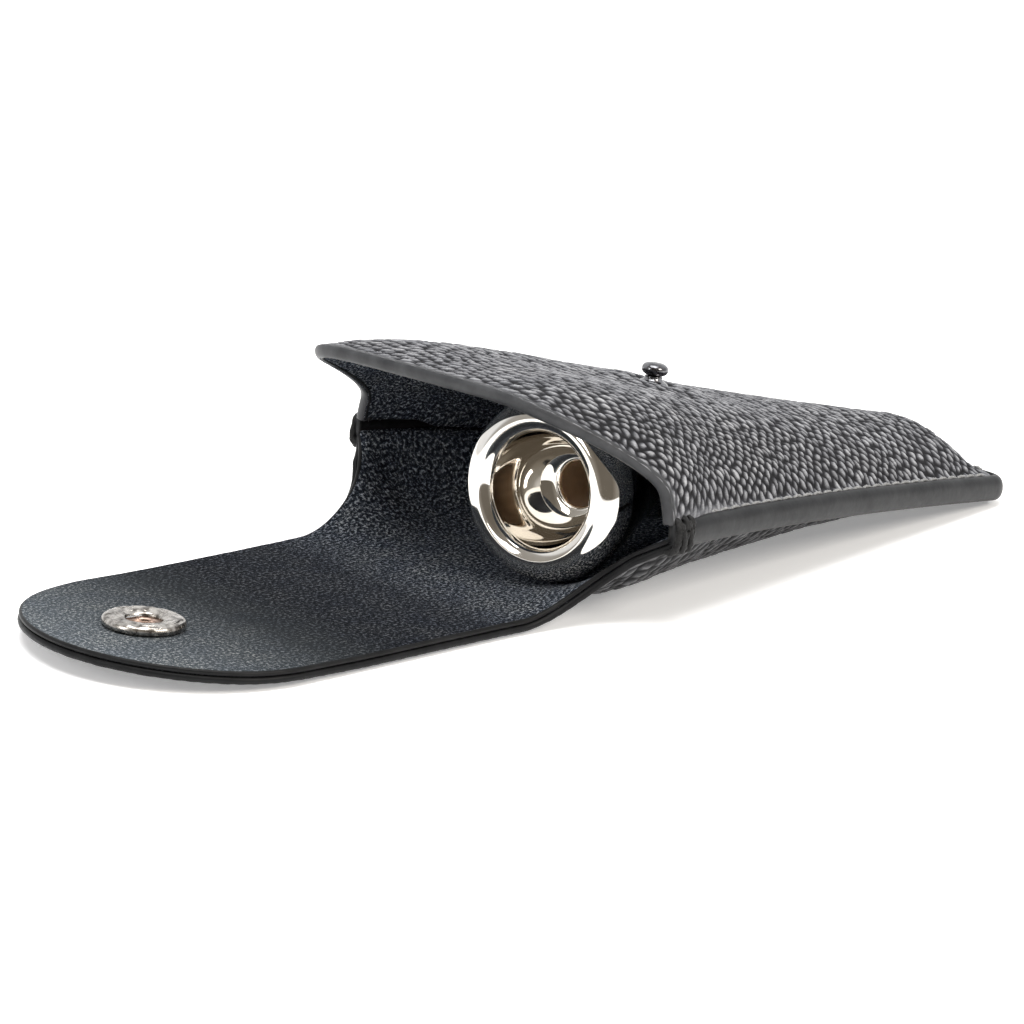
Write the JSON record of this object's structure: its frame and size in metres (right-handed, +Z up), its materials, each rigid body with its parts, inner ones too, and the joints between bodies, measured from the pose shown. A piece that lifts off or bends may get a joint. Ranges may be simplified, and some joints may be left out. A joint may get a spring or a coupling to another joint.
{
  "type": "mouthpiece pouch",
  "caption": "Lined leather pouch with a snap flap, lying open, holding a turned silver-plated brass-instrument mouthpiece.",
  "frame": {"origin": "on the table, under the middle of the pouch's mouth, in line with the two mouth corners", "axes": "+X along the pouch from its mouth to its bottom seam, +Y to its left, +Z up; the open flap lies towards -X"},
  "size_m": [0.1672, 0.0678, 0.0322],
  "materials": {
    "leather": "pebbled, satin",
    "suede": "suede nap, matt",
    "thread": "waxed thread",
    "gunmetal": "dark nickel plate, polished",
    "copper": "bare, dull",
    "spring_steel": "bright wire",
    "silver_plate": "mirror polished silver plate"
  },
  "bodies": {
    "pouch": {"back_leather": "leather", "back_lining": "suede", "front_leather": "leather", "front_lining": "suede", "near_side_stitches": "thread", "far_side_stitches": "thread", "bottom_stitches": "thread", "near_corner_tack": "thread", "far_corner_tack": "thread", "snap_stud": "gunmetal", "stud_rivet": "gunmetal"},
    "flap_spine": {"spine_leather": "leather", "spine_lining": "suede"},
    "flap_tongue": {"tongue_leather": "leather", "tongue_lining": "suede", "snap_cap": "gunmetal", "cap_post": "copper", "snap_socket": "gunmetal", "socket_spring": "spring_steel"},
    "mouthpiece": {"mouthpiece": "silver_plate"}
  },
  "joints": [
    {"name": "flap_first_fold", "type": "hinge", "parent": "pouch", "child": "flap_spine", "pos_m": [-0.012, 0, 0.0019], "axis": [0, 1, 0], "range_deg": [0, 70]},
    {"name": "flap_second_fold", "type": "hinge", "parent": "flap_spine", "child": "flap_tongue", "pos_m": [-0.047, 0, 0.0019], "axis": [0, 1, 0], "range_deg": [0, 110]},
    {"name": "mouthpiece_slide", "type": "slide", "parent": "pouch", "child": "mouthpiece", "axis": [0.9685, 0.2236, -0.1097], "range_m": [-0.085, 0]}
  ],
  "couplings": [
    {"joint": "flap_second_fold", "follows": "flap_first_fold", "ratio": 1.5714}
  ]
}
